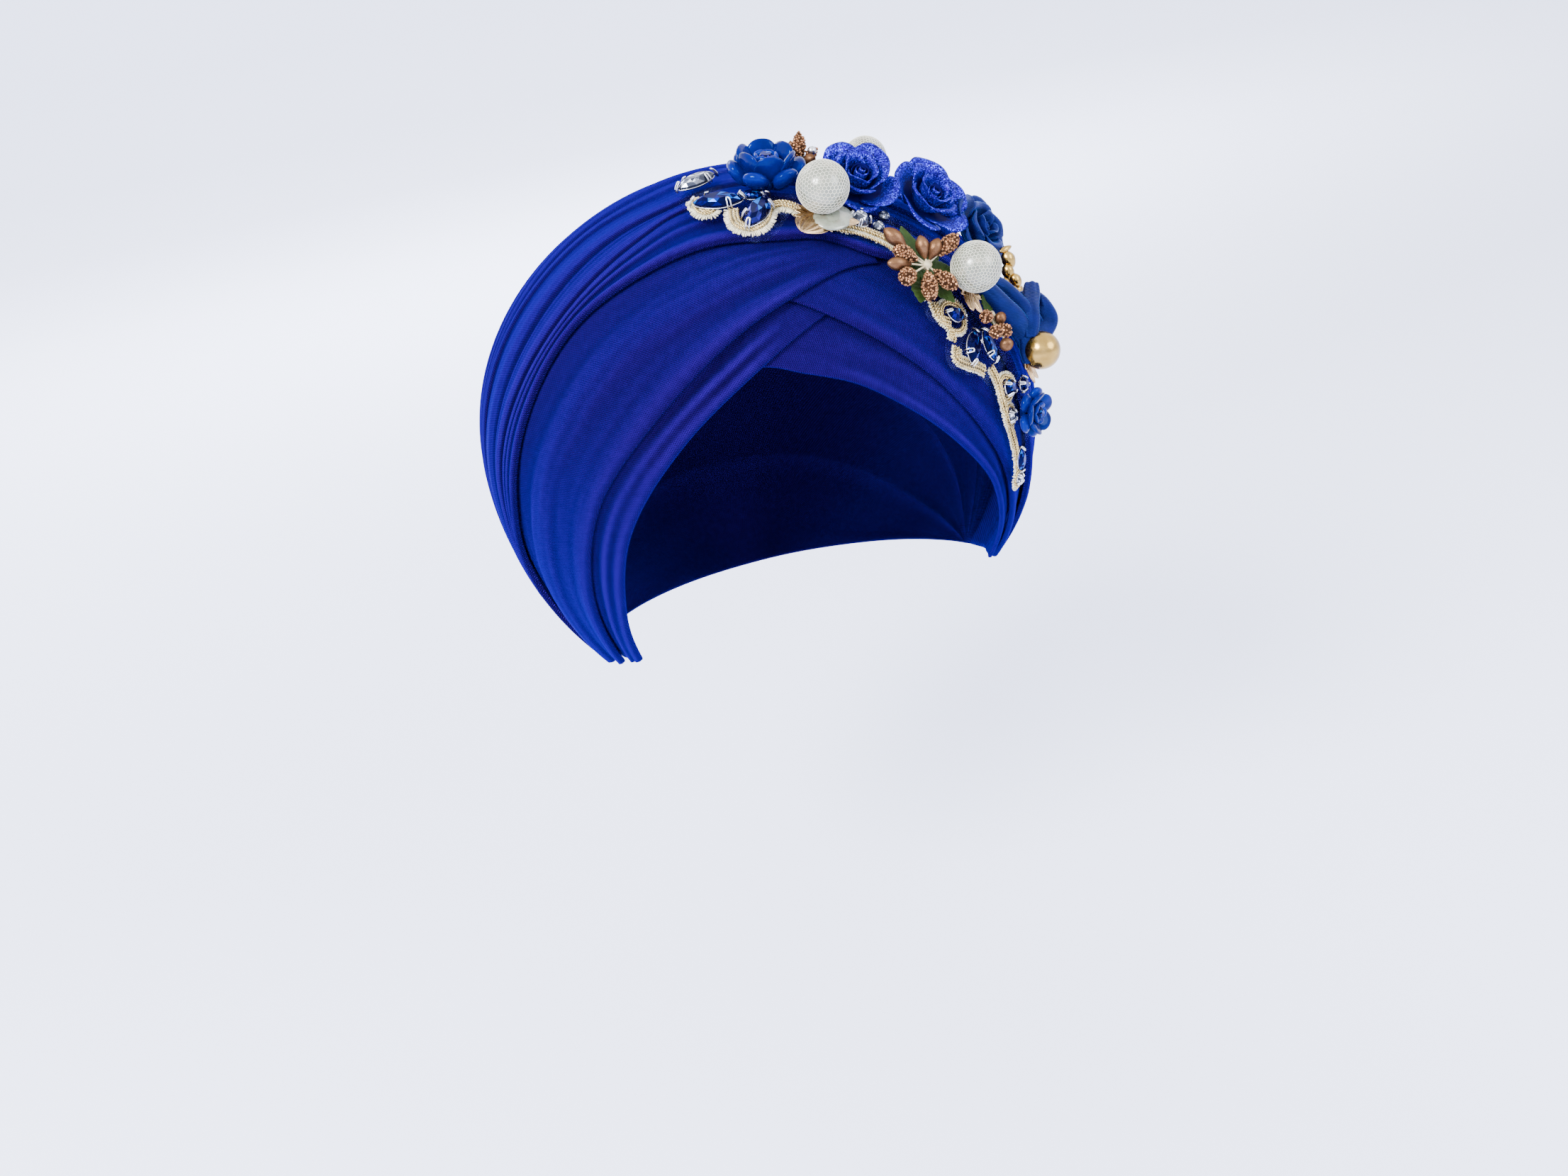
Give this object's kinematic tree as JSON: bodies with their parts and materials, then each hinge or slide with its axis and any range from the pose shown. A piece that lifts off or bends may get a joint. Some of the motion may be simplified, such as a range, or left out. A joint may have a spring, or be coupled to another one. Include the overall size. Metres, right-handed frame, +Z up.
{
  "type": "cross-front turban hat with flower, pearl and stone trim",
  "caption": "Pleated cross-front jersey turban held in its worn form, with a lace trim of cloth roses, pearls, berries and cut stones on the wearer's left.",
  "frame": {"origin": "centre of the head hollow, level with the widest part of the head band", "axes": "+X to the wearer's left, -Y to the face, +Z up to the crown"},
  "size_m": [0.1807, 0.1836, 0.1654],
  "materials": {
    "cloth": "royal blue stretch jersey with a soft satin sheen",
    "braid": "pale gold metallic braid on clear film",
    "pearl": "pearl lustre under a white net",
    "gold": "polished gold plate",
    "berry": "copper lacquer, some sugared with small beads",
    "leaf": "dark green ribbon cloth",
    "resin": "clear blue resin",
    "glitter": "royal blue glitter cloth",
    "ribbon": "teal blue satin ribbon",
    "sapphire": "foiled blue cut glass in silver claws",
    "crystal": "clear cut glass in silver claws"
  },
  "bodies": {
    "root": {"crown_wrap": "cloth", "right_band_main": "cloth", "right_band_low": "cloth", "left_band_high": "cloth", "left_band_low": "cloth", "lace_trim": "braid", "pearl_front": "pearl", "pearl_back": "pearl", "pearl_side": "pearl", "shell_cap_front": "gold", "shell_cap_side": "gold", "shell_cap_ball": "gold", "gold_ball": "gold", "gold_berries": "gold", "berry_spray_main": "berry", "berry_spray_side": "berry", "berry_spray_top": "berry", "leaf_spray_main": "leaf", "leaf_spray_side": "leaf", "resin_flower_top": "resin", "resin_flower_low": "resin", "glitter_rose_front": "glitter", "glitter_rose_back": "glitter", "ribbon_rose": "ribbon", "ribbon_knot": "ribbon", "stone_crown_right": "sapphire", "stone_crown_left": "sapphire", "stone_crown_back": "sapphire", "stone_side_oval": "sapphire", "stone_side_front": "sapphire", "stone_side_back": "sapphire", "stone_temple_round": "sapphire", "stone_temple_drop": "sapphire", "stone_ear": "sapphire", "stone_crown_clear": "crystal", "stone_temple_clear": "crystal", "stone_ear_clear": "crystal", "rhinestone": "crystal", "crystal_bead_front": "crystal", "crystal_bead_back": "crystal"}
  },
  "joints": []
}
